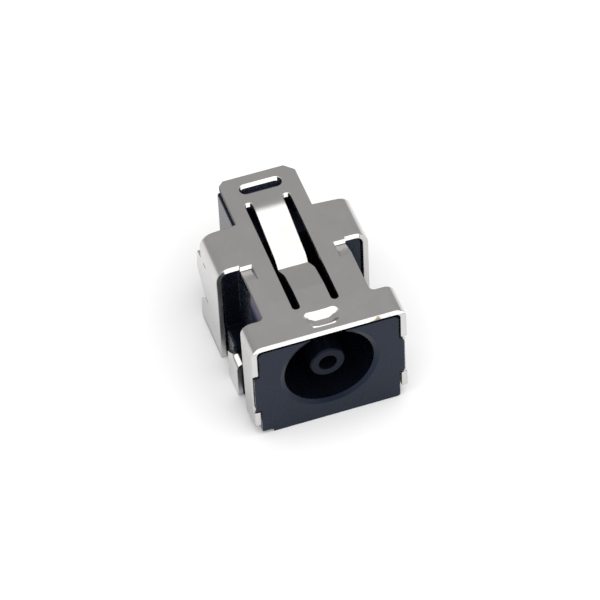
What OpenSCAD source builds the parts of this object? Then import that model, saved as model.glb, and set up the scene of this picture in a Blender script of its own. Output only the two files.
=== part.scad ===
// Dc barrel jack for a board edge: a folded sheet-metal shell over a moulded body with a centre post.
// Millimetres. The front of the socket faces -Y, +Z is up, and the origin is at the bottom centre.
// Inside the modules, y counts backwards from the shell's front edge; seated() moves it to the origin.

/* [Shell] */
// Width over the side walls and over the wings
shell_w = 8.4; // [8.2:0.1:9]
// Length from the front edge to the rear edge
shell_l = 12; // [11.8:0.1:13]
// Height of the shell's top face above the surface that the jack stands on
shell_h = 6.7; // [6.6:0.05:7.2]
// Thickness of the sheet
sheet_t = 0.3; // [0.2:0.02:0.34]
// Width of the neck between the front box and the wings
neck_w = 5.8; // [5:0.05:6.2]
// Radius of the inner corners between the front box and the neck
neck_fillet_r = 0.3; // [0.1:0.05:0.6]
// Width of the plate behind the wings
rear_plate_w = 4.2; // [3.8:0.05:4.6]
// Size of the cut corner at the left of the rear edge
rear_cut_left = 0.3; // [0.1:0.05:0.7]
// Size of the cut corner at the right of the rear edge
rear_cut_right = 0.5; // [0.1:0.05:0.7]
// Radius of the small rounded corners of the cut sheet
cut_r = 0.1; // [0.04:0.01:0.12]

/* [Front box] */
// Length of the front box along its top
box_l = 1.8; // [1.7:0.05:1.9]
// Outside radius of the bends from the top into the side walls
box_bend_r = 0.6; // [0.4:0.05:0.9]
// Height of the side walls' lower edge at its rear end
box_wall_low = 0.45; // [0.2:0.05:0.8]
// Rise of the side walls' lower edge towards the front
box_wall_rise = 0.38; // [0:0.02:0.6]
// Distance by which the side walls' rear edge leans forward down to its lower end
box_wall_lean = 0.22; // [0:0.02:0.3]
// Depth of the notches in the front edges of the side walls, where the lugs sit
notch_depth = 0.25; // [0.1:0.05:0.5]

/* [Wings] */
// Distance from the front edge to the rear side of the relief slits
wing_start = 5.72; // [5.4:0.05:6.2]
// Distance by which the wing's front edge steps back outside the neck
wing_step = 0.13; // [0:0.01:0.3]
// Length of the wing along its bend
wing_l = 2.9; // [2.6:0.05:3.1]
// Distance by which the wing's rear edge runs back towards the middle
wing_sweep = 0.1; // [0:0.05:0.4]
// Outside radius of the wing bends
wing_bend_r = 0.8; // [0.5:0.05:1.2]
// Radius of the lower front corner of the wing
wing_corner_r = 0.12; // [0.06:0.02:0.5]
// Length of the foot of the wing along the bottom
foot_l = 3.35; // [2.8:0.05:3.6]
// Height at which the foot starts to narrow
foot_h = 1.5; // [1:0.05:1.8]
// Distance by which the foot's rear edge leans forward up to that height
foot_taper = 0.15; // [0:0.05:0.3]
// Radius of the foot's lower rear corner
foot_corner_r = 0.25; // [0.1:0.05:0.4]

/* [Wing tab] */
// Height of the tab's lower slit
tab_low = 2.36; // [2.1:0.02:2.8]
// Height of the tab's upper slit
tab_high = 5.06; // [4.6:0.02:5.3]
// Width of the slits over and under the tab
tab_slit_w = 0.12; // [0.08:0.01:0.2]
// Distance from the wing's front edge to the front ends of the slits
tab_root = 1.95; // [1.5:0.05:2.1]
// Length of the upper slit
tab_slit_l = 0.42; // [0.2:0.02:0.5]
// Distance by which the notch under the tab cuts in front of the wing's bend
notch_in = 0.3; // [0.1:0.05:0.4]
// Distance by which the tab reaches back past the wing's bend
tab_reach = 0.88; // [0.7:0.02:1.2]
// Distance by which the tab's rear edge leans forward up to its top
tab_lean = 0.28; // [0:0.02:0.4]
// Height of the tab's rearmost point
tab_nose_h = 3.6; // [3.2:0.05:4.2]
// Radius of the tab's rearmost corner
tab_nose_r = 0.3; // [0.1:0.05:0.5]

/* [Relief slits] */
// Width of the slits between the neck and the wings
slit_w = 0.08; // [0.06:0.01:0.3]
// Width of the metal left between the inner ends of the two slits
slit_bridge = 4.5; // [3.6:0.05:5]
// Length of the small corner flaps in front of the slits
flap_l = 1; // [0.6:0.05:1.2]
// Distance by which the edge of each flap is pressed down
flap_drop = 0.3; // [0.1:0.01:0.34]
// Width of the shear line along the inside of each flap
flap_shear = 0.04; // [0.02:0.01:0.1]

/* [Spring tongue] */
// Width of the tongue
tongue_w = 1.68; // [1.2:0.02:2]
// Width of the slots beside the tongue
slot_w = 0.43; // [0.3:0.01:0.6]
// Distance from the front edge to the front ends of the slots
slot_start = 1.9; // [1.85:0.05:2.2]
// Distance from the rear edge to the rear ends of the slots
slot_inset = 2; // [1.9:0.05:2.4]
// Length of flat tongue at the front end of the slots
tongue_front_flat = 1.3; // [0.8:0.05:1.5]
// Length of flat tongue at the rear end of the slots
tongue_rear_flat = 0.6; // [0.4:0.05:1]
// Distance from the front edge to the lowest line of the tongue
tongue_low_at = 5.75; // [5.5:0.05:6]
// Distance by which the lowest line lies under the plate
tongue_drop = 1.05; // [0.7:0.05:1.2]
// Distance from the lowest line back to the crease of the rear ramp
crease_back = 0.42; // [0.3:0.02:0.6]
// Height of the crease over the lowest line
crease_rise = 0.36; // [0.2:0.02:0.5]
// Distance from the lowest line forward to the knee of the front ramp
knee_forward = 1.25; // [1:0.05:1.5]
// Distance by which the knee lies under the plate
knee_drop = 0.2; // [0.1:0.02:0.4]
// Bend radius at both ends of the ramps
ramp_end_r = 3; // [1:0.5:4]
// Bend radius of the knee
knee_r = 1; // [0.5:0.1:1.5]
// Bend radius of the lowest line
valley_r = 0.25; // [0.2:0.01:0.3]
// Bend radius of the crease
crease_r = 0.5; // [0.3:0.05:0.8]

/* [Pressed recess] */
// Width of the recess's rim across the plate
recess_w = 1.85; // [1.6:0.05:2]
// Length of the recess's rim
recess_l = 1.36; // [1.2:0.02:1.5]
// Width of the soft slope inside the rim
recess_rim = 0.24; // [0.15:0.01:0.3]
// Depth at the inner end of that slope
recess_rim_drop = 0.08; // [0.04:0.01:0.12]
// Width of the steep wall between that slope and the floor
recess_wall = 0.24; // [0.2:0.01:0.3]
// Depth of the recess
recess_depth = 0.3; // [0.2:0.01:0.34]
// Bend radius along the top and the foot of the steep wall
recess_r = 0.12; // [0.05:0.01:0.14]
// Distance from the front edge to the middle of the recess
recess_at = 0.9; // [0.86:0.01:1]

/* [Rear slot] */
// Width of the slot across the rear plate
rear_slot_w = 2.36; // [1.6:0.02:2.8]
// Length of the slot from front to rear
rear_slot_l = 0.73; // [0.5:0.01:0.8]
// Distance from the rear edge to the middle of the slot
rear_slot_inset = 0.99; // [0.9:0.01:1.2]

/* [Housing] */
// Gap between the housing and the shell's side walls
side_gap = 0.09; // [0.03:0.01:0.14]
// Gap between the front block and the shell's top
top_gap = 0.2; // [0.05:0.01:0.25]
// Distance by which the housing's face lies behind the shell's front edge
face_set_back = 0.05; // [0:0.01:0.2]
// Length of the front block
block_l = 1.6; // [1.3:0.05:1.7]
// Width of the small step at the left of the face's lower edge
step_w = 0.62; // [0.3:0.02:0.9]
// Height of the small step
step_h = 0.2; // [0.1:0.02:0.3]
// Height of the lower edge of the side lugs
lug_low = 1.85; // [1.6:0.05:2.2]
// Height of the side lugs
lug_h = 2.58; // [2:0.02:2.8]
// Distance by which the lugs stay inside the shell's outer faces
lug_inset = 0.1; // [0.02:0.01:0.15]
// Gap under and behind each lug in its notch
lug_gap = 0.08; // [0.02:0.01:0.1]
// Gap over each lug in its notch
lug_top_gap = 0.2; // [0.05:0.01:0.25]
// Radius of the upper corner of each lug
lug_r = 0.3; // [0.1:0.05:0.4]
// Height of the base on both sides of the barrel
base_h = 2.2; // [2:0.05:2.5]
// Width of the barrel
barrel_w = 5.9; // [5.8:0.05:6.4]
// Width of the gusset at the left of the barrel, behind the front block
gusset_w = 0.55; // [0.3:0.05:0.8]
// Distance from the front edge to the place where the gusset starts to taper
gusset_start = 2; // [1.8:0.05:2.4]
// Distance from the front edge to the place where the gusset ends
gusset_end = 3.9; // [3:0.05:4.4]
// Distance from the rear of the relief slits to the block that fills the wings
fill_set_back = 0.25; // [0.2:0.01:0.4]
// Gap between the seats of the legs and the legs
seat_gap = 0.03; // [0.02:0.01:0.06]
// Width of the housing behind the wings
tail_w = 4.4; // [4.3:0.05:4.7]
// Distance by which the housing ends in front of the shell's rear edge
tail_inset = 0.27; // [0.24:0.01:0.4]
// Height of the opening's axis
axis_h = 3.75; // [3.65:0.05:3.85]
// Diameter of the socket
bore_d = 4.9; // [4.6:0.05:4.95]
// Diameter of the funnel at the face
funnel_d = 5.4; // [5.2:0.05:5.5]
// Depth of the funnel
funnel_l = 0.12; // [0.06:0.02:0.4]
// Depth of the socket behind the shell's front edge
bore_l = 8; // [7.6:0.05:8.1]
// Gap between the tongue's slots and the edges of the window under them
window_gap = 0.08; // [0.02:0.01:0.15]
// Width of the groove from the face to the window
groove_w = 1.94; // [1.9:0.02:2.2]
// Radius of the small rounded corners of the mouldings
mould_r = 0.15; // [0.05:0.01:0.2]

/* [Post holder] */
// Diameter of the post
post_d = 1.9; // [1.7:0.05:2]
// Distance from the shell's front edge to the tip of the post
post_tip = 0.4; // [0.3:0.05:1]
// Size of the bevel on the post's tip
post_bevel = 0.07; // [0.05:0.01:0.2]
// Diameter of the hole in the post's tip
pin_hole_d = 1; // [0.94:0.02:1.1]
// Depth of the hole in the post's tip
pin_hole_l = 2.9; // [2.4:0.1:3.5]
// Diameter of the narrower bore behind it, which holds the centre contact
contact_bore_d = 0.64; // [0.5:0.02:0.66]
// Width of the holder's block
holder_w = 3.2; // [2.8:0.05:3.4]
// Height of the holder's block
holder_h = 3.2; // [3:0.05:3.4]
// Gap round the holder's block in the housing
holder_gap = 0.03; // [0.01:0.01:0.05]
// Thickness of the housing between the holder's block and the window
holder_cover = 0.3; // [0.2:0.05:0.4]
// Distance by which the block ends inside the housing's rear face
holder_inset = 0.15; // [0.05:0.05:0.3]

/* [Contacts] */
// Thickness of the contact strips
strip_t = 0.2; // [0.15:0.01:0.25]
// Gap round a contact in its holder
contact_gap = 0.02; // [0.01:0.01:0.04]
// Distance from the end of the hole in the post to the front of the centre contact
centre_depth = 0.1; // [0.05:0.05:0.3]
// Radius of the centre contact's round nose
nose_r = 0.15; // [0.05:0.01:0.2]
// Width of the centre contact's tail
centre_tail_w = 0.5; // [0.4:0.02:0.6]
// Width of the spring leaf under the post
leaf_w = 0.9; // [0.6:0.05:1.2]
// Distance from the post's axis to the leaf where it leaves the holder
leaf_low = 1.2; // [1.15:0.01:1.3]
// Distance by which the leaf bows away from the post
leaf_bow = 0.4; // [0.2:0.02:0.5]
// Distance from the front edge to the leaf's tip
leaf_tip = 2.4; // [2:0.1:3]
// Distance from the front edge to the crown of the leaf's bow
leaf_crown = 4; // [3.6:0.1:4.6]
// Rise of the leaf's tip over its root
leaf_tip_rise = 0.05; // [0:0.01:0.1]
// Distance from the holder to the bend where the leaf starts to bow
leaf_root = 0.7; // [0.5:0.05:1]
// Bend radius at the crown of the bow
leaf_crown_r = 1.2; // [0.8:0.1:1.5]
// Bend radius where the leaf starts to bow
leaf_root_r = 2; // [1:0.5:3]
// Width of the power contact over its two tails
power_w = 2.4; // [2.2:0.05:2.6]
// Width of the gap between its two tails
power_gap = 1.1; // [0.9:0.05:1.3]
// Length of the contacts' tails inside the holder's rear end
tail_root = 0.4; // [0.3:0.05:0.5]

/* [Side legs] */
// Thickness of the legs
leg_t = 0.25; // [0.2:0.01:0.28]
// Distance from the front edge to the legs
leg_start = 2.92; // [2.6:0.05:3.1]
// Length of a leg from front to rear
leg_l = 1.6; // [1.3:0.05:1.7]
// Length of the part of a leg that lies on the base
leg_top_l = 0.8; // [0.6:0.05:1]
// Height of a leg's rear edge
leg_rear_h = 2; // [1.6:0.05:2.1]
// Inside radius of the leg's bend
leg_bend_r = 0.12; // [0.08:0.01:0.2]
// Distance by which a leg reaches into the side of the barrel
leg_grip = 0.35; // [0.25:0.05:0.4]
// Gap round a leg in its pocket
leg_gap = 0.03; // [0.02:0.01:0.06]
// Radius of the lower corners of a leg
leg_corner_r = 0.35; // [0.1:0.05:0.6]

/* [Hidden] */
$fn = 64;
// Number of short straight steps in a rounded corner of an outline
arc_steps = 12;
// Small length by which a cut runs past the face that it opens
past = 0.5;
// Length by which two shapes of one piece run into each other
joint = 0.1;
// Gap between faces of two pieces that stop short of each other
clear = 0.05;
half_w = shell_w / 2;
under_plate = shell_h - sheet_t;
inner_w = shell_w - 2 * sheet_t;
slot_outer_w = tongue_w + 2 * slot_w;
slot_end = shell_l - slot_inset;
slot_l = slot_end - slot_start;
tongue_front = slot_start + tongue_front_flat;
tongue_rear = slot_end - tongue_rear_flat;
wing_front = wing_start + wing_step;
wing_rear = wing_start + wing_l;
slit_front = wing_start - slit_w;
body_w = inner_w - 2 * side_gap;
housing_end = shell_l - tail_inset;
barrel_end = wing_rear - clear;
holder_end = housing_end - holder_inset;
tail_plane = housing_end + contact_gap + strip_t / 2;
leaf_plane = axis_h - leaf_low;
leg_in = barrel_w / 2 - leg_grip;
leg_h = base_h + leg_gap + leg_t;

function xy(p) = [p[0], p[1]];
function unit(v) = v / norm(v);
function left_of(v) = [-v[1], v[0]];
function turn_of(u, w) = sign(u[0] * w[1] - u[1] * w[0]);

// Points of a corner at b, between its neighbours a and c, rounded with radius r
function corner(a, b, c, r) =
  let (u = unit(a - b), w = unit(c - b), half = acos(u * w) / 2)
  r <= 0 ? [b] :
  let (mid = b + unit(u + w) * r / sin(half), from = b + u * r / tan(half) - mid)
  let (to = b + w * r / tan(half) - mid, start = atan2(from[1], from[0]))
  let (sweep = (atan2(to[1], to[0]) - start + 540) % 360 - 180)
  [for (i = [0:arc_steps]) mid + r * [cos(start + sweep * i / arc_steps), sin(start + sweep * i / arc_steps)]];

// Closed outline through corners given as [x, y, radius]
function outline(p) =
  let (n = len(p))
  [for (i = [0:n - 1]) each corner(xy(p[(i + n - 1) % n]), xy(p[i]), xy(p[(i + 1) % n]), p[i][2])];

// A path of [x, y, radius] moved sideways by s, as a sheet's face lies beside its middle line
function moved(p, s) =
  let (last = len(p) - 1)
  let (way = [for (i = [0:last - 1]) unit(xy(p[i + 1]) - xy(p[i]))])
  [for (i = [0:last])
    let (a = left_of(way[max(i - 1, 0)]), b = left_of(way[min(i, last - 1)]))
    let (at = xy(p[i]) + s * (a + b) / (1 + a * b))
    [at[0], at[1], p[i][2] > 0 ? p[i][2] - s * turn_of(a, b) : 0]];

// Points along a path with its corners rounded
function along(p) =
  let (last = len(p) - 1)
  [for (i = [0:last])
    each i == 0 || i == last ? [xy(p[i])] : corner(xy(p[i - 1]), xy(p[i]), xy(p[i + 1]), p[i][2])];

function reversed(p) = [for (i = [len(p) - 1:-1:0]) p[i]];

// Outline of a sheet of thickness t that is bent along a path of its middle line
function bent(p, t) = concat(along(moved(p, t / 2)), reversed(along(moved(p, -t / 2))));

// Moves a piece from the shell's front edge to the part's origin
module seated() {
  translate([0, -shell_l / 2, 0])
    children();
}

// Draws the children on the right and mirrored on the left
module both_sides() {
  children();
  mirror([1, 0, 0])
    children();
}

// Stands a drawing of x and height upright and runs it back from one y to another
module run_back(from, to) {
  translate([0, to, 0])
    rotate([90, 0, 0])
      linear_extrude(to - from)
        children();
}

// Turns a drawing of y and height to face sideways and runs it across from one x to another
module run_across(from, to) {
  translate([from, 0, 0])
    rotate([90, 0, 90])
      linear_extrude(to - from)
        children();
}

// Flat bar with round ends, centred, w long across and l wide
module obround(w, l) {
  square([w - l, l], center = true);
  both_sides()
    translate([(w - l) / 2, 0])
      circle(d = l);
}

// Flat outline of the shell's top as it lies between its bends
module plate_outline() {
  box_flat = half_w - box_bend_r;
  wing_flat = half_w - wing_bend_r;
  neck = neck_w / 2;
  bridge = slit_bridge / 2;
  plate = rear_plate_w / 2;
  wing_rear_mid = wing_rear + wing_sweep;
  polygon(outline([
    [-box_flat, 0, 0],
    [box_flat, 0, 0],
    [box_flat, box_l, 0],
    [neck, box_l, neck_fillet_r],
    [neck, slit_front, 0],
    [bridge, slit_front, 0],
    [bridge, wing_start, 0],
    [neck, wing_start, 0],
    [neck, wing_front, 0],
    [wing_flat, wing_front, 0],
    [wing_flat, wing_rear, 0],
    [plate, wing_rear_mid, 0],
    [plate, shell_l - rear_cut_right, 0],
    [plate - rear_cut_right, shell_l, 0],
    [rear_cut_left - plate, shell_l, 0],
    [-plate, shell_l - rear_cut_left, 0],
    [-plate, wing_rear_mid, 0],
    [-wing_flat, wing_rear, 0],
    [-wing_flat, wing_front, 0],
    [-neck, wing_front, 0],
    [-neck, wing_start, 0],
    [-bridge, wing_start, 0],
    [-bridge, slit_front, 0],
    [-neck, slit_front, 0],
    [-neck, box_l, neck_fillet_r],
    [-box_flat, box_l, 0]]));
}

// Openings that are punched through the shell's top
module plate_openings() {
  both_sides()
    translate([(tongue_w + slot_w) / 2, (slot_start + slot_end) / 2])
      rotate(90)
        obround(slot_l, slot_w);
  translate([-slot_outer_w / 2, tongue_front])
    square([slot_outer_w, tongue_rear - tongue_front]);
  translate([0, shell_l - rear_slot_inset])
    obround(rear_slot_w, rear_slot_l);
  both_sides()
    translate([slit_bridge / 2, slit_front - flap_l])
      square([past + neck_w / 2, flap_l]);
}

// Section from the middle of the recess out to its rim, with the rim at height 0
module recess_section() {
  rim = recess_l / 2;
  polygon(outline([
    [0, -recess_depth, 0],
    [rim - recess_rim - recess_wall, -recess_depth, recess_r],
    [rim - recess_rim, -recess_rim_drop, recess_r],
    [rim, 0, 0],
    [0, 0, 0]]));
}

// Shallow dish of the pressed recess, with its rim at z = 0
module recess_dish() {
  reach = (recess_w - recess_l) / 2;
  translate([0, recess_at, 0]) {
    both_sides()
      translate([reach, 0, 0])
        rotate_extrude()
          recess_section();
    run_across(-reach, reach)
      both_sides()
        recess_section();
  }
}

// Top of the shell with its punched openings and its pressed recess
module shell_plate() {
  difference() {
    union() {
      translate([0, 0, under_plate])
        linear_extrude(sheet_t)
          difference() {
            plate_outline();
            plate_openings();
          }
      translate([0, 0, under_plate])
        recess_dish();
    }
    translate([0, 0, shell_h])
      recess_dish();
  }
}

// Tongue that stays joined at both ends and dips into the socket between them
module spring_tongue() {
  middle = shell_h - sheet_t / 2;
  low = middle - tongue_drop;
  run_across(-tongue_w / 2, tongue_w / 2)
    polygon(bent([
      [tongue_front - joint, middle, 0],
      [tongue_front, middle, ramp_end_r],
      [tongue_low_at - knee_forward, middle - knee_drop, knee_r],
      [tongue_low_at, low, valley_r],
      [tongue_low_at + crease_back, low + crease_rise, crease_r],
      [tongue_rear, middle, ramp_end_r],
      [tongue_rear + joint, middle, 0]], sheet_t));
}

// Small corner flap of the neck, sheared along its inside and pressed down at the slit
module corner_flap() {
  middle = shell_h - sheet_t / 2;
  run_across(slit_bridge / 2 + flap_shear, neck_w / 2)
    polygon(bent([
      [slit_front - flap_l - joint, middle, 0],
      [slit_front - flap_l, middle, 0],
      [slit_front, middle - flap_drop, 0]], sheet_t));
}

// Section through a side wall and the bend over it, with outside radius r
module wall_section(r) {
  wall = half_w - sheet_t / 2;
  polygon(bent([
    [half_w - r - joint, shell_h - sheet_t / 2, 0],
    [wall, shell_h - sheet_t / 2, r - sheet_t / 2],
    [wall, 0, 0]], sheet_t));
}

// Side wall of the front box, with slanting lower and rear edges and a notch for the lug
module box_wall() {
  top = shell_h + past;
  bend_low = shell_h - box_bend_r;
  notch_low = lug_low - lug_gap;
  notch_high = lug_low + lug_h + lug_top_gap;
  intersection() {
    run_back(0, box_l)
      wall_section(box_bend_r);
    run_across(0, shell_w)
      polygon(outline([
        [0, box_wall_low + box_wall_rise, 0],
        [box_l - box_wall_lean, box_wall_low, foot_corner_r],
        [box_l, bend_low, 0],
        [box_l, top, 0],
        [0, top, 0],
        [0, notch_high, 0],
        [notch_depth, notch_high, cut_r],
        [notch_depth, notch_low, cut_r],
        [0, notch_low, 0]]));
  }
}

// Wing that folds down to the bottom, with its foot and its slit tab
module wing_wall() {
  top = shell_h + past;
  foot_rear = wing_front + foot_l;
  root = wing_front + tab_root;
  nose = wing_rear + tab_reach;
  half_slit = tab_slit_w / 2;
  difference() {
    intersection() {
      run_back(wing_front, nose + past)
        wall_section(wing_bend_r);
      run_across(0, shell_w)
        polygon(outline([
          [wing_front, top, 0],
          [wing_front, 0, wing_corner_r],
          [foot_rear, 0, foot_corner_r],
          [foot_rear - foot_taper, foot_h, foot_corner_r],
          [wing_rear - notch_in, tab_low - half_slit, cut_r],
          [root, tab_low - half_slit, 0],
          [root, tab_low + half_slit, 0],
          [wing_rear - notch_in, tab_low + half_slit, cut_r],
          [nose, tab_nose_h, tab_nose_r],
          [nose - tab_lean, tab_high, cut_r],
          [wing_rear, tab_high, 0],
          [wing_rear, top, 0]]));
    }
    run_across(0, shell_w)
      translate([root, tab_high - half_slit])
        square([tab_slit_l, tab_slit_w]);
  }
}

// Folded shell: one sheet with the top, the front box, the wings and the spring tongue
module shell() {
  color("lightsteelblue")
    seated()
      union() {
        shell_plate();
        spring_tongue();
        both_sides() {
          corner_flap();
          box_wall();
          wing_wall();
        }
      }
}

// Barrel with the gusset at its left, and the wide base under it
module barrel() {
  side = barrel_w / 2;
  linear_extrude(under_plate)
    polygon([
      [side, block_l - joint],
      [side, barrel_end],
      [-side, barrel_end],
      [-side, gusset_end],
      [-side - gusset_w, gusset_start],
      [-side - gusset_w, block_l - joint]]);
  run_back(block_l - joint, barrel_end)
    polygon(outline([
      [-body_w / 2, 0, mould_r],
      [body_w / 2, 0, mould_r],
      [body_w / 2, base_h, mould_r],
      [-body_w / 2, base_h, mould_r]]));
}

// Block that fills the shell between the two wings
module wing_fill() {
  bend_r = wing_bend_r - sheet_t + side_gap;
  run_back(wing_start + fill_set_back, barrel_end)
    polygon(outline([
      [-body_w / 2, 0, mould_r],
      [body_w / 2, 0, mould_r],
      [body_w / 2, under_plate, bend_r],
      [-body_w / 2, under_plate, bend_r]]));
}

// Front block with its face, its lower left step and its side lugs
module front_block() {
  top = under_plate - top_gap;
  side = body_w / 2;
  lug_side = half_w - lug_inset;
  run_back(face_set_back, block_l)
    polygon(outline([
      [-side, step_h, 0],
      [step_w - side, step_h, 0],
      [step_w - side, 0, 0],
      [side, 0, mould_r],
      [side, top, box_bend_r - sheet_t],
      [-side, top, box_bend_r - sheet_t]]));
  both_sides()
    run_back(face_set_back, notch_depth - lug_gap)
      polygon(outline([
        [side - past, lug_low, 0],
        [lug_side, lug_low, mould_r],
        [lug_side, lug_low + lug_h, lug_r],
        [side - past, lug_low + lug_h, 0]]));
}

// Seats on the sides of the base, which back the legs
module leg_seats() {
  seat_w = shell_w - 2 * leg_t - 2 * seat_gap;
  run_back(leg_start + seat_gap, leg_start + leg_l)
    polygon(outline([
      [-seat_w / 2, 0, mould_r],
      [seat_w / 2, 0, mould_r],
      [seat_w / 2, base_h, mould_r],
      [-seat_w / 2, base_h, mould_r]]));
}

// Socket with its funnel, open at the top for the tongue
module socket() {
  translate([0, 0, axis_h])
    rotate([-90, 0, 0]) {
      translate([0, 0, -past])
        cylinder(h = bore_l + past, d = bore_d);
      translate([0, 0, face_set_back])
        cylinder(h = funnel_l, d1 = funnel_d, d2 = bore_d);
    }
  window_w = slot_outer_w + 2 * window_gap;
  window_start = slot_start - window_gap;
  floor_h = axis_h + holder_h / 2 + holder_gap + holder_cover;
  translate([-window_w / 2, window_start, axis_h])
    cube([window_w, bore_l - window_start, shell_h - axis_h]);
  translate([-window_w / 2, window_start, floor_h])
    cube([window_w, slot_end + window_gap - window_start, shell_h - floor_h]);
  translate([-groove_w / 2, -past, axis_h])
    cube([groove_w, slot_start + past, shell_h - axis_h]);
}

// Pocket in the side of the barrel that holds the inner end of a leg
module leg_pocket() {
  translate([leg_in - leg_gap, leg_start - leg_gap, leg_h - leg_t - leg_gap])
    cube([half_w, leg_l + 2 * leg_gap, leg_t + 2 * leg_gap]);
}

// Room in the top of the barrel for a corner flap that is pressed down
module flap_pocket() {
  depth = flap_drop + clear;
  translate([slit_bridge / 2 - clear, slit_front - flap_l - clear, under_plate - depth])
    cube([half_w, flap_l + slit_w + 2 * clear, depth + past]);
}

// Moulded body: front block, barrel, base and the narrow rear part
module housing() {
  tail_top = under_plate - top_gap;
  pocket_w = holder_w + 2 * holder_gap;
  pocket_h = holder_h + 2 * holder_gap;
  color("dimgray")
    seated()
      difference() {
        union() {
          front_block();
          barrel();
          wing_fill();
          leg_seats();
          run_back(barrel_end - joint, housing_end)
            polygon(outline([
              [-tail_w / 2, 0, mould_r],
              [tail_w / 2, 0, mould_r],
              [tail_w / 2, tail_top, mould_r],
              [-tail_w / 2, tail_top, mould_r]]));
        }
        socket();
        translate([-pocket_w / 2, bore_l - past, axis_h - pocket_h / 2])
          cube([pocket_w, shell_l, pocket_h]);
        both_sides() {
          leg_pocket();
          flap_pocket();
        }
      }
}

// Holder that closes the rear of the socket and carries the post
module post_holder() {
  slot_h = strip_t + 2 * contact_gap;
  slot_across = power_w + 2 * contact_gap;
  color("slategray")
    seated()
      difference() {
        union() {
          translate([-holder_w / 2, bore_l, axis_h - holder_h / 2])
            cube([holder_w, holder_end - bore_l, holder_h]);
          translate([0, 0, axis_h])
            rotate([-90, 0, 0]) {
              translate([0, 0, post_tip + post_bevel])
                cylinder(h = bore_l - post_tip, d = post_d);
              translate([0, 0, post_tip])
                cylinder(h = post_bevel, d1 = post_d - 2 * post_bevel, d2 = post_d);
            }
        }
        translate([0, -past, axis_h])
          rotate([-90, 0, 0])
            cylinder(h = shell_l + 2 * past, d = contact_bore_d);
        translate([0, post_tip - past, axis_h])
          rotate([-90, 0, 0])
            cylinder(h = pin_hole_l + past, d = pin_hole_d);
        translate([-slot_across / 2, bore_l - past, leaf_plane - slot_h / 2])
          cube([slot_across, shell_l, slot_h]);
      }
}

// Centre contact: a round rod through the post, with a tail behind the housing
module centre_contact() {
  front = post_tip + pin_hole_l + centre_depth;
  rod_r = contact_bore_d / 2 - contact_gap;
  color("gold")
    seated() {
      translate([0, front, axis_h])
        rotate([-90, 0, 0])
          rotate_extrude()
            polygon(outline([
              [0, 0, 0],
              [rod_r, 0, nose_r],
              [rod_r, holder_end - front, 0],
              [0, holder_end - front, 0]]));
      run_across(-centre_tail_w / 2, centre_tail_w / 2)
        polygon(bent([
          [holder_end - tail_root, axis_h, 0],
          [tail_plane, axis_h, strip_t],
          [tail_plane, 0, 0]], strip_t));
    }
}

// Power contact: a spring leaf under the post and two tails behind the housing
module power_contact() {
  color("goldenrod")
    seated() {
      run_across(-leaf_w / 2, leaf_w / 2)
        polygon(bent([
          [leaf_tip, leaf_plane + leaf_tip_rise, 0],
          [leaf_crown, leaf_plane - leaf_bow, leaf_crown_r],
          [bore_l - leaf_root, leaf_plane, leaf_root_r],
          [bore_l + 2 * joint, leaf_plane, 0]], strip_t));
      difference() {
        run_across(-power_w / 2, power_w / 2)
          polygon(bent([
            [bore_l + joint, leaf_plane, 0],
            [tail_plane, leaf_plane, strip_t],
            [tail_plane, 0, 0]], strip_t));
        translate([-power_gap / 2, holder_end - tail_root, -past])
          cube([power_gap, shell_l, shell_h]);
      }
    }
}

// Leg at the side: held in the barrel, laid over the base, folded down to the bottom and wider there
module leg() {
  out = half_w - leg_t / 2;
  flat = leg_h - leg_t / 2;
  seated()
    intersection() {
      run_back(leg_start, leg_start + leg_l)
        polygon(bent([
          [leg_in, flat, 0],
          [out, flat, leg_bend_r + leg_t / 2],
          [out, 0, 0]], leg_t));
      run_across(0, shell_w)
        polygon(outline([
          [leg_start, 0, leg_corner_r],
          [leg_start + leg_l, 0, leg_corner_r],
          [leg_start + leg_l, leg_rear_h, cut_r],
          [leg_start + leg_top_l, leg_h, 0],
          [leg_start + leg_top_l, shell_h, 0],
          [leg_start, shell_h, 0]]));
    }
}

// Left leg
module leg_left() {
  color("silver")
    mirror([1, 0, 0])
      leg();
}

// Right leg
module leg_right() {
  color("silver")
    leg();
}

shell();
housing();
post_holder();
centre_contact();
power_contact();
leg_left();
leg_right();
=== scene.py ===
import math

import bpy
from mathutils import Euler, Matrix, Vector


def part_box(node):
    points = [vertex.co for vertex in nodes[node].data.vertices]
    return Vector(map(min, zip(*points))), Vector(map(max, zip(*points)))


# A dc barrel jack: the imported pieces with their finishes, on a pale floor under one softbox
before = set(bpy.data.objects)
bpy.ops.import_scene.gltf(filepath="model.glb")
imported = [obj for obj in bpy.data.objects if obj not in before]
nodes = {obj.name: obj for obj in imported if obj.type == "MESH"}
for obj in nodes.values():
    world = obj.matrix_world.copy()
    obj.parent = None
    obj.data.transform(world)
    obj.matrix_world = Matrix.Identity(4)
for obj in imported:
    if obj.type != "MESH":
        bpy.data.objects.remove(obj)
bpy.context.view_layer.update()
MM = 0.001

# ---------------------------------------------------------------- places on the part
# The finishes change at places on the part, in millimetres: x to the right, across from the middle to either
# side, back from the front edge and up from the bottom. A pair says where a change starts and where it is
# full. A group of four goes on with where it starts to fade and where it is over. The finishes shade rolled
# edges and the corners of the pressed mark, which the solids don't have. None of them depends on the camera.
LOW, HIGH = [[value / MM for value in corner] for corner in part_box("shell")]
FRONT = LOW[1]
TOP = HIGH[2]

# Sheared front edges of the flat top, down to the start of the bends
FRONT_CUT_UP = (TOP - 0.45, TOP - 0.25)
FRONT_BOX_BACK = (3.0, 2.0)
INSIDE_BENDS_ACROSS = (3.9, 3.6)
# Sheared side edges of the neck and the rear plate
SIDE_CUT_UP = (TOP - 0.32, TOP - 0.28)
SIDE_CUT_ACROSS = (1.9, 2.0)
# Corner flaps in front of the slits
FLAP_ACROSS = (2.15, 2.2, 2.9, 2.95)
FLAP_BACK = (4.55, 4.6, 5.75, 5.8)
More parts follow.
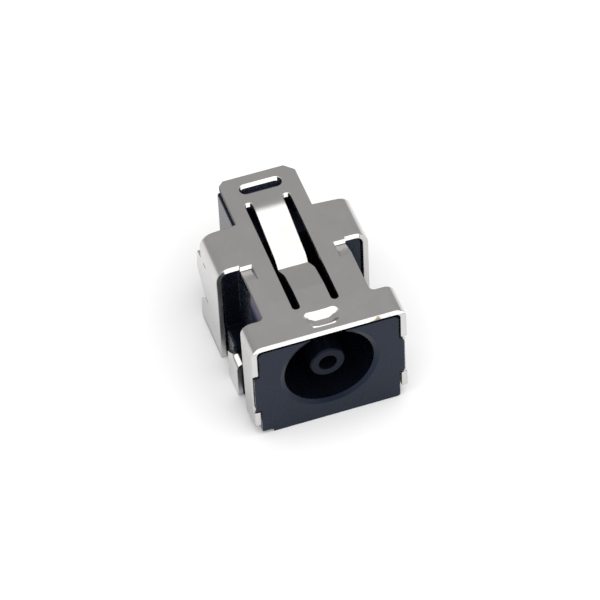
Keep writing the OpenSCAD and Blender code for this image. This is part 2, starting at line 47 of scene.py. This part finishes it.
# Spring tongue: its width, its front slope, its rear slope and its flat root
TONGUE_ACROSS = (0.95, 0.9)
TONGUE_RISE_BACK = (3.8, 3.9, 6.0, 6.1)
RAMP_BACK = (5.6, 5.7)
RAMP_UP = (TOP - 0.01, TOP - 0.1)
TONGUE_ROOT_ACROSS = (0.86, 0.8)
TONGUE_ROOT_BACK = (8.0, 8.4, 9.3, 10.1)
# Worn spots on the front edge
WORN_BACK = (0.8, 0.5)
# Outer walls with painted shade: darker towards the bottom and on the front box, painted shadow at their
# feet
WALL_UP = (4.8, 1.5)
BOX_WALL_BACK = (2.5, 1.9)
FOOT_UP = (0.5, 0.0)
# Legs: the front of the bend, and the root beside the barrel and the front edge, which take painted shade
LEG_BEND_UP = (2.2, 2.3)
LEG_BEND_BACK = (3.9, 3.6)
LEG_BEND_ACROSS = (3.86, 3.92)
LEG_ROOT_UP = (2.1, 2.2)
LEG_ROOT_ACROSS = (3.92, 3.84)
LEG_CUT_UP = (0.1, 1.2)
# Top of the moulding beside the left of the neck, and the part of it with a painted highlight
NECK_X = (-3.5, -2.95, -2.8, -2.6)
NECK_UP = (TOP - 0.5, TOP - 0.4)
NECK_BACK = (4.1, 3.7)
NECK_PAINTED_LIGHT_X = (-3.25, -2.95)

# Pressed mark: half width, half length, corner radius and distance from the front edge to its middle
MARK_HALF_W = 1.17
MARK_HALF_L = 0.61
MARK_R = 0.5
MARK_BACK = 0.9
# How much narrower the walls at the ends of the mark are than those along it
MARK_PINCH = 1.6
# Distances inside the outline of its soft rim, of its lip and of its steep wall, with the slope of each
MARK_RIM = (0.0, 0.05, 0.22, 0.28)
MARK_RIM_SLOPE = 0.36
MARK_LIP = (0.08, 0.11, 0.22, 0.25)
MARK_LIP_SLOPE = -0.36
MARK_WALL = (0.22, 0.28, 0.41, 0.45)
MARK_WALL_SLOPE = 0.8
# The rim runs round the rear half of the mark, and the lip lies along the front, a little to the left
MARK_REAR_HALF = (-0.1, 0.0)
MARK_LIP_X = -0.07
MARK_LIP_ACROSS = (0.68, 0.54)
# The mark's finish reaches a little past its outline, and a little over the thickness of the sheet down
MARK_REACH = (-0.22, -0.18)
MARK_UP = (TOP - 0.4, TOP - 0.35)

# How far a face has to look in a direction, from where a finish starts to count it to where it counts fully
LOOKS_SIDEWAYS = (0.5, 0.9)
LOOKS_STRAIGHT_SIDEWAYS = (0.9, 0.97)
SHEET_LOOKS_FORWARD = (0.75, 0.9)
LEG_LOOKS_FORWARD = (0.8, 0.95)
LOOKS_A_LITTLE_BACK = (0.25, 0.4)
LOOKS_A_LITTLE_UP = (0.3, 0.4)
LOOKS_MOSTLY_UP = (0.7, 0.9)
LOOKS_STRAIGHT_UP = (0.9, 0.95)

# Directions that the finishes turn the shading towards, and the share of the turn where it isn't a full one
FRONT_CUT_WAY = (0.0, -0.6, 0.8)
SIDE_CUT_WAY = (0.0, 0.0, 1.0)
TONGUE_RISE_WAY = (0.0, 0.1, 1.0)
TONGUE_ROOT_WAY = (0.0, -1.0, 0.2)
TONGUE_ROOT_SHARE = 0.05
LEG_BEND_WAY = (0.3, -0.95, 0.3)
LEG_BEND_SHARE = 0.35
NECK_WAY = (-0.2, -0.45, 0.87)
NECK_SHARE = 0.4

# Tints, and how far the outer walls and the legs go towards a darker one as painted shade
SHEET_TINT = (0.655, 0.645, 0.64)
GOLD_TINT = (0.80, 0.58, 0.28)
MOULDING_TINT = (0.003, 0.0038, 0.007)
MOULDING_GLOSS = (0.45, 0.62, 1.0, 1.0)
# Painted highlight on the moulding beside the neck
NECK_PAINTED_LIGHT_TINT = (0.115, 0.095, 0.135, 1.0)
FOOT_SHADOW_TINT = (0.12, 0.125, 0.135, 1.0)
SHADE_BLACK = (0.0, 0.0, 0.0, 1.0)
WALL_PAINTED_SHADE = 0.2
BOX_WALL_PAINTED_SHADE = 0.14
FOOT_PAINTED_SHADOW = 0.6
LEG_CUT_PAINTED_SHADE = 0.75
# Tint of the painted shade on a leg's root and front edge, as a share of the sheet's
LEG_SHADE_TINT = 0.16


# ---------------------------------------------------------------- shader nodes
def node(tree, kind, **settings):
    added = tree.nodes.new(kind)
    for key, value in settings.items():
        setattr(added, key, value)
    return added


def feed(tree, socket, value):
    """Links a socket to the output of another node, or gives it a plain value."""
    if isinstance(value, bpy.types.NodeSocket):
        tree.links.new(value, socket)
    else:
        socket.default_value = value


def mapped(tree, scale=(1.0, 1.0, 1.0), place=(0.0, 0.0, 0.0)):
    """Object coordinates in millimetres, stretched by scale and shifted by place."""
    coord = node(tree, "ShaderNodeTexCoord")
    mapping = node(tree, "ShaderNodeMapping")
    feed(tree, mapping.inputs["Vector"], coord.outputs["Object"])
    feed(tree, mapping.inputs["Scale"], [factor / MM for factor in scale])
    feed(tree, mapping.inputs["Location"], place)
    return mapping.outputs["Vector"]


def noise(tree, vector, scale, detail=3.0, rough=0.55):
    cloud = node(tree, "ShaderNodeTexNoise")
    values = {"Vector": vector, "Scale": scale, "Detail": detail, "Roughness": rough}
    for name, value in values.items():
        feed(tree, cloud.inputs[name], value)
    return cloud.outputs["Fac"]


def ramp(tree, fac, stops):
    """Colour that runs through two or more stops, each a position and a colour."""
    shades = node(tree, "ShaderNodeValToRGB")
    elements = shades.color_ramp.elements
    for position, _ in stops[2:]:
        elements.new(position)
    for element, (position, colour) in zip(elements, stops):
        element.position = position
        element.color = (*colour, 1.0)
    feed(tree, shades.inputs["Fac"], fac)
    return shades.outputs["Color"]


def span(tree, value, from_low, from_high, to_low=0.0, to_high=1.0, blend="LINEAR"):
    """The value carried from one range into another, and held at its ends."""
    carried = node(tree, "ShaderNodeMapRange", interpolation_type=blend)
    ends = {"Value": value, "From Min": from_low, "From Max": from_high, "To Min": to_low, "To Max": to_high}
    for name, end in ends.items():
        feed(tree, carried.inputs[name], end)
    return carried.outputs["Result"]


def within(tree, value, ends):
    """A share from 0 to 1: 1 past both ends of a pair, or between the inner two of a group of four."""
    share = span(tree, value, ends[0], ends[1], blend="SMOOTHSTEP")
    if len(ends) == 4:
        share = product(tree, share, span(tree, value, ends[3], ends[2], blend="SMOOTHSTEP"))
    return share


def maths(tree, operation, *values):
    """One arithmetic step between sockets or plain numbers."""
    step = node(tree, "ShaderNodeMath", operation=operation)
    for socket, value in zip(step.inputs, values):
        feed(tree, socket, value)
    return step.outputs[0]


def product(tree, *factors):
    total = factors[0]
    for factor in factors[1:]:
        total = maths(tree, "MULTIPLY", total, factor)
    return total


def mix_colour(tree, fac, a, b, blend="MIX"):
    mixer = node(tree, "ShaderNodeMix", data_type="RGBA", blend_type=blend)
    for index, value in ((0, fac), (6, a), (7, b)):
        feed(tree, mixer.inputs[index], value)
    return mixer.outputs[2]


def turned(tree, normal, target, share):
    """The normal, turned towards target by a share from 0 to 1."""
    mixer = node(tree, "ShaderNodeMix", data_type="VECTOR")
    for index, value in ((0, share), (4, normal), (5, target)):
        feed(tree, mixer.inputs[index], value)
    unit = node(tree, "ShaderNodeVectorMath", operation="NORMALIZE")
    feed(tree, unit.inputs[0], mixer.outputs[1])
    return unit.outputs[0]


def bump(tree, height, strength, distance, normal):
    raised = node(tree, "ShaderNodeBump")
    values = {"Height": height, "Strength": strength, "Distance": distance, "Normal": normal}
    for name, value in values.items():
        feed(tree, raised.inputs[name], value)
    return raised.outputs["Normal"]


def rounded_edges(tree, radius):
    """A bevel node, which softens the edges of a solid in its shading."""
    bevel = node(tree, "ShaderNodeBevel", samples=8)
    feed(tree, bevel.inputs["Radius"], radius)
    return bevel


def parts_of(tree, vector):
    split = node(tree, "ShaderNodeSeparateXYZ")
    feed(tree, split.inputs[0], vector)
    return split.outputs


def vector_of(tree, *parts):
    joined = node(tree, "ShaderNodeCombineXYZ")
    for socket, value in zip(joined.inputs, parts):
        feed(tree, socket, value)
    return joined.outputs[0]


def place_on_part(tree):
    """Where a point of the surface lies: x, back from the front edge, and up."""
    return parts_of(tree, mapped(tree, place=(0.0, -FRONT, 0.0)))


def face_normal(tree):
    """The direction that the flat face round a point looks in: x, y and z."""
    return parts_of(tree, node(tree, "ShaderNodeNewGeometry").outputs["True Normal"])


# ---------------------------------------------------------------- materials
class Finish:
    """A material made of one principled shader and the nodes that feed it."""

    def __init__(self, name):
        self.material = bpy.data.materials.new(name)
        self.material.use_nodes = True
        self.tree = self.material.node_tree
        self.tree.nodes.clear()
        self.shader = node(self.tree, "ShaderNodeBsdfPrincipled")
        output = node(self.tree, "ShaderNodeOutputMaterial")
        feed(self.tree, output.inputs["Surface"], self.shader.outputs["BSDF"])

    def give(self, name, value):
        feed(self.tree, self.shader.inputs[name], value)


def plated_metal(name, tint, rough, edge):
    """Plated metal with a fine grain from front to rear and soft clouds."""
    finish = Finish(name)
    tree = finish.tree
    fine = mapped(tree)
    cloud = noise(tree, fine, 0.55)
    grain = noise(tree, mapped(tree, (9.0, 0.7, 9.0)), 3.0, 4.0, 0.6)
    speck = noise(tree, fine, 14.0, 2.0)
    base = ramp(tree, cloud, [(0.3, [0.94 * part for part in tint]), (0.7, tint)])
    streak = ramp(tree, grain, [(0.25, (0.95, 0.95, 0.95)), (0.75, (1.0, 1.0, 1.0))])
    finish.colour = mix_colour(tree, 1.0, base, streak, "MULTIPLY")
    finish.bevel = rounded_edges(tree, edge)
    normal = bump(tree, grain, 0.06, 0.002 * MM, finish.bevel.outputs["Normal"])
    finish.normal = bump(tree, cloud, 0.1, 0.01 * MM, normal)
    finish.give("Metallic", 1.0)
    finish.give("Base Color", finish.colour)
    finish.give("Roughness", maths(tree, "ADD", span(tree, grain, 0.2, 0.8, rough - 0.02, rough + 0.02),
                                   span(tree, speck, 0.3, 0.7, -0.006, 0.006)))
    finish.give("Normal", finish.normal)
    return finish


def pressed_mark(tree, x, back, up):
    """Shading normal and share of the pressed mark, drawn as a rounded rectangle with a rolled rim."""
    across = maths(tree, "SUBTRACT", maths(tree, "ABSOLUTE", x), MARK_HALF_W - MARK_R)
    across = product(tree, across, MARK_PINCH)
    from_middle = maths(tree, "SUBTRACT", back, MARK_BACK)
    along = maths(tree, "SUBTRACT", maths(tree, "ABSOLUTE", from_middle), MARK_HALF_L - MARK_R)

    # Distance inside the outline
    corner_x = maths(tree, "MAXIMUM", across, 0.0)
    corner_y = maths(tree, "MAXIMUM", along, 0.0)
    squares = maths(tree, "ADD", product(tree, corner_x, corner_x), product(tree, corner_y, corner_y))
    reach = maths(tree, "SQRT", squares)
    straight = maths(tree, "MINIMUM", maths(tree, "MAXIMUM", across, along), 0.0)
    inward = maths(tree, "SUBTRACT", MARK_R, maths(tree, "ADD", reach, straight))

    # Outward direction, which turns round the corners and is square to the straight sides
    in_corner = within(tree, reach, (0.0, 0.001))
    safe_reach = maths(tree, "MAXIMUM", reach, 0.0001)
    at_end = maths(tree, "GREATER_THAN", across, along)
    at_side = maths(tree, "SUBTRACT", 1.0, at_end)

    def outward(corner, square, offset):
        curve = maths(tree, "SUBTRACT", maths(tree, "DIVIDE", corner, safe_reach), square)
        way = maths(tree, "ADD", square, product(tree, curve, in_corner))
        return product(tree, way, maths(tree, "SIGN", offset))

    rear_half = within(tree, from_middle, MARK_REAR_HALF)
    front_half = maths(tree, "SUBTRACT", 1.0, rear_half)
    off_lip = maths(tree, "ABSOLUTE", maths(tree, "SUBTRACT", x, MARK_LIP_X))
    at_lip = product(tree, front_half, within(tree, off_lip, MARK_LIP_ACROSS))
    rim = product(tree, within(tree, inward, MARK_RIM), rear_half, MARK_RIM_SLOPE)
    lip = product(tree, within(tree, inward, MARK_LIP), at_lip, MARK_LIP_SLOPE)
    wall = product(tree, within(tree, inward, MARK_WALL), MARK_WALL_SLOPE)
    slope = maths(tree, "ADD", maths(tree, "ADD", rim, lip), wall)
    fall = product(tree, slope, -1.0)
    normal = vector_of(tree, product(tree, outward(corner_x, at_end, x), fall),
                       product(tree, outward(corner_y, at_side, from_middle), fall), 1.0)
    return normal, product(tree, within(tree, inward, MARK_REACH), within(tree, up, MARK_UP))


def sheet_turns(tree, x, back, up, across, face, sideways, front_cut):
    """Pairs of a share and a direction, by which the sheet's normal is turned in this order."""
    side_cut = product(tree, within(tree, sideways, LOOKS_STRAIGHT_SIDEWAYS), within(tree, up, SIDE_CUT_UP),
                       within(tree, across, SIDE_CUT_ACROSS))
    on_tongue = within(tree, across, TONGUE_ACROSS)
    tongue_rise = product(tree, within(tree, face[1], LOOKS_A_LITTLE_BACK), on_tongue,
                          within(tree, back, TONGUE_RISE_BACK))
    at_root = product(tree, within(tree, across, TONGUE_ROOT_ACROSS), within(tree, back, TONGUE_ROOT_BACK))
    tongue_root = product(tree, at_root, within(tree, face[2], LOOKS_STRAIGHT_UP), TONGUE_ROOT_SHARE)
    mark, mark_share = pressed_mark(tree, x, back, up)
    mark_share = product(tree, mark_share, within(tree, face[2], LOOKS_A_LITTLE_UP))
    return (
        (front_cut, FRONT_CUT_WAY),
        (side_cut, SIDE_CUT_WAY),
        (tongue_rise, TONGUE_RISE_WAY),
        (tongue_root, TONGUE_ROOT_WAY),
        (mark_share, mark),
    )


def sheet_tones(tree, plain, back, up, across, sideways, front_cut):
    """Pairs of a share and a colour, by which the sheet's tint changes in this order; the walls' darkening
    is painted shade.
    """
    patches = noise(tree, mapped(tree, (1.0, 0.6, 1.0)), 1.6, 4.0, 0.65)
    rubbed_and_painted_light = ramp(tree, patches, [(0.3, (1.0, 0.99, 0.955)), (0.6, (1.12, 1.11, 1.08))])
    on_ramp = product(tree, within(tree, across, TONGUE_ACROSS), within(tree, up, RAMP_UP),
                      within(tree, back, RAMP_BACK))
    spots = noise(tree, mapped(tree, (0.6, 0.3, 0.5), place=(-3.0, 0.0, 0.0)), 1.2, 2.0, 0.5)
    spots = product(tree, spots, within(tree, back, WORN_BACK))
    wear = [(0.0, (1.05, 1.05, 1.03)), (0.61, (1.0, 1.0, 0.97)), (0.66, (0.34, 0.28, 0.2))]
    worn = ramp(tree, spots, wear)
    on_wall = within(tree, sideways, LOOKS_SIDEWAYS)
    return (
        (on_ramp, mix_colour(tree, 1.0, plain, rubbed_and_painted_light, "MULTIPLY")),
        (front_cut, mix_colour(tree, 1.0, plain, worn, "MULTIPLY")),
        # Painted shade on the walls, and a painted contact shadow at their feet
        (product(tree, within(tree, up, WALL_UP), on_wall, WALL_PAINTED_SHADE), SHADE_BLACK),
        (product(tree, within(tree, back, BOX_WALL_BACK), on_wall, BOX_WALL_PAINTED_SHADE), SHADE_BLACK),
        (product(tree, within(tree, up, FOOT_UP), on_wall, FOOT_PAINTED_SHADOW), FOOT_SHADOW_TINT),
    )


def sheet_metal(name, tint, rough, edge, flap_edge):
    """Plated sheet, shaded as if its sheared edges were rolled over, as a press leaves them."""
    finish = plated_metal(name, tint, rough, edge)
    tree = finish.tree
    x, back, up = place_on_part(tree)
    across = maths(tree, "ABSOLUTE", x)
    face = face_normal(tree)
    sideways = maths(tree, "ABSOLUTE", face[0])
    at_flap = product(tree, within(tree, across, FLAP_ACROSS), within(tree, back, FLAP_BACK))
    feed(tree, finish.bevel.inputs["Radius"], span(tree, at_flap, 0.0, 1.0, edge, flap_edge))

    forward = product(tree, face[1], -1.0)
    on_box = within(tree, back, FRONT_BOX_BACK)
    on_flat = maths(tree, "MAXIMUM", on_box, within(tree, across, INSIDE_BENDS_ACROSS))
    at_edge = product(tree, within(tree, forward, SHEET_LOOKS_FORWARD), within(tree, up, FRONT_CUT_UP))
    front_cut = product(tree, at_edge, on_flat)
    normal = finish.normal
    for share, target in sheet_turns(tree, x, back, up, across, face, sideways, front_cut):
        normal = turned(tree, normal, target, share)
    finish.give("Normal", normal)
    colour = finish.colour
    for share, target in sheet_tones(tree, finish.colour, back, up, across, sideways, front_cut):
        colour = mix_colour(tree, share, colour, target)
    finish.give("Base Color", colour)
    return finish


def leg_metal(name, tint, rough, edge):
    """Plated strip with a light on its bend, and painted shade at its root and its front edge."""
    finish = plated_metal(name, tint, rough, edge)
    tree = finish.tree
    x, back, up = place_on_part(tree)
    across = maths(tree, "ABSOLUTE", x)
    at_bend = product(tree, within(tree, up, LEG_BEND_UP), within(tree, back, LEG_BEND_BACK),
                      within(tree, across, LEG_BEND_ACROSS), LEG_BEND_SHARE)
    finish.give("Normal", turned(tree, finish.normal, LEG_BEND_WAY, at_bend))
    # Painted shade: the root beside the barrel and the front edge are darkened
    at_root = product(tree, within(tree, across, LEG_ROOT_ACROSS), within(tree, up, LEG_ROOT_UP))
    forward = product(tree, face_normal(tree)[1], -1.0)
    at_cut = product(tree, within(tree, forward, LEG_LOOKS_FORWARD), within(tree, up, LEG_CUT_UP))
    painted_shade = maths(tree, "MAXIMUM", at_root, product(tree, at_cut, LEG_CUT_PAINTED_SHADE))
    shade = (*(LEG_SHADE_TINT * part for part in tint), 1.0)
    finish.give("Base Color", mix_colour(tree, painted_shade, finish.colour, shade))
    return finish


def moulded_plastic(name, tint, rough, edge, shine):
    """Black moulding with a bluish gloss, and a painted highlight where it shows at the left of the sheet's
    neck.
    """
    finish = Finish(name)
    tree = finish.tree
    fine = mapped(tree)
    cloud = noise(tree, fine, 0.7)
    grain = noise(tree, fine, 9.0, 4.0, 0.6)
    base = ramp(tree, cloud, [(0.3, [0.8 * part for part in tint]), (0.7, [1.2 * part for part in tint])])
    normal = bump(tree, grain, 0.08, 0.004 * MM, rounded_edges(tree, edge).outputs["Normal"])
    x, back, up = place_on_part(tree)
    at_neck = product(tree, within(tree, x, NECK_X), within(tree, face_normal(tree)[2], LOOKS_MOSTLY_UP),
                      within(tree, up, NECK_UP), within(tree, back, NECK_BACK))
    # Painted highlight: a lighter tint on the moulding beside the neck
    rubbed_and_painted_light = product(tree, at_neck, within(tree, x, NECK_PAINTED_LIGHT_X))
    finish.give("Specular IOR Level", shine)
    finish.give("Specular Tint", MOULDING_GLOSS)
    finish.give("Base Color", mix_colour(tree, rubbed_and_painted_light, base, NECK_PAINTED_LIGHT_TINT))
    finish.give("Roughness", span(tree, grain, 0.25, 0.75, rough - 0.04, rough + 0.05))
    finish.give("Normal", turned(tree, normal, NECK_WAY, product(tree, at_neck, NECK_SHARE)))
    return finish


sheet = sheet_metal("plated_sheet_metal", SHEET_TINT, 0.25, edge=0.07 * MM, flap_edge=0.04 * MM)
strip = leg_metal("plated_strip", SHEET_TINT, 0.25, edge=0.04 * MM)
plastic = moulded_plastic("black_moulded_plastic", MOULDING_TINT, 0.26, edge=0.05 * MM, shine=0.4)
post_plastic = moulded_plastic("black_post_plastic", MOULDING_TINT, 0.34, edge=0.05 * MM, shine=0.16)
gold = plated_metal("gold_flash", GOLD_TINT, 0.22, edge=0.04 * MM)

FINISHES = {
    "shell": sheet,
    "leg_left": strip,
    "leg_right": strip,
    "housing": plastic,
    "post_holder": post_plastic,
    "centre_contact": gold,
    "power_contact": gold,
}
for name, finish in FINISHES.items():
    slots = nodes[name].data.materials
    slots.clear()
    slots.append(finish.material)

# ---------------------------------------------------------------- floor
# How far the floor reaches to each side, and how far it lies under the part, so that their faces don't meet
FLOOR_REACH = 1.2
FLOOR_DROP = 0.02 * MM


def pale_floor():
    corners = [(-1, -1, 0), (1, -1, 0), (1, 1, 0), (-1, 1, 0)]
    mesh = bpy.data.meshes.new("floor")
    mesh.from_pydata([FLOOR_REACH * Vector(corner) for corner in corners], [], [(0, 1, 2, 3)])
    finish = Finish("pale_floor")
    finish.give("Base Color", (0.95, 0.95, 0.955, 1.0))
    finish.give("Roughness", 0.7)
    finish.give("Specular IOR Level", 0.1)
    mesh.materials.append(finish.material)
    ground = bpy.data.objects.new("floor", mesh)
    ground.location.z = -FLOOR_DROP
    bpy.context.scene.collection.objects.link(ground)
    return ground


floor = pale_floor()

# ---------------------------------------------------------------- light
# One wide softbox hangs level, over and in front of the part. Its rear edge ends short of the place that the
# part's level top mirrors to the camera.
BOX_SIZE = (0.9, 0.85)
BOX_PLACE = (0.03, -0.275, 0.35)
BOX_GLOW = 1.47
WORLD_COLOUR = (1.0, 0.99, 0.975, 1.0)
WORLD_GLOW = 0.43


def studio_light():
    world = bpy.data.worlds.new("studio")
    world.use_nodes = True
    background = world.node_tree.nodes["Background"]
    background.inputs["Color"].default_value = WORLD_COLOUR
    background.inputs["Strength"].default_value = WORLD_GLOW
    bpy.context.scene.world = world
    light = bpy.data.lights.new("softbox", "AREA")
    light.shape = "RECTANGLE"
    light.size, light.size_y = BOX_SIZE
    light.energy = BOX_GLOW * math.pi * light.size * light.size_y
    softbox = bpy.data.objects.new("softbox", light)
    softbox.location = BOX_PLACE
    bpy.context.scene.collection.objects.link(softbox)


studio_light()

# ---------------------------------------------------------------- camera
# The photograph's view: how far the camera stands round to the left of the front, how high, how far it is
# rolled, the point of the part that it looks at and its distance from there
VIEW_LEFT = math.radians(16.712)
VIEW_HEIGHT = math.radians(47.477)
VIEW_ROLL = math.radians(-2.975)
VIEW_POINT = Vector((0.0, -1.181, 4.018)) * MM
VIEW_DISTANCE = 192.63 * MM
SENSOR_W = 36.0
LENS = 220.19


def photo_camera():
    camera = bpy.data.cameras.new("camera")
    camera.sensor_width = SENSOR_W
    camera.lens = LENS
    camera.clip_start = 0.005
    camera.clip_end = 20.0
    stand = bpy.data.objects.new("camera", camera)
    way = Euler((math.pi / 2 - VIEW_HEIGHT, 0.0, -VIEW_LEFT)).to_matrix().to_4x4()
    roll = Matrix.Rotation(VIEW_ROLL, 4, "Z")
    off = Matrix.Translation((0.0, 0.0, VIEW_DISTANCE))
    stand.matrix_world = Matrix.Translation(VIEW_POINT) @ way @ roll @ off
    bpy.context.scene.collection.objects.link(stand)
    bpy.context.scene.camera = stand


photo_camera()
bpy.context.scene.view_settings.view_transform = "Standard"
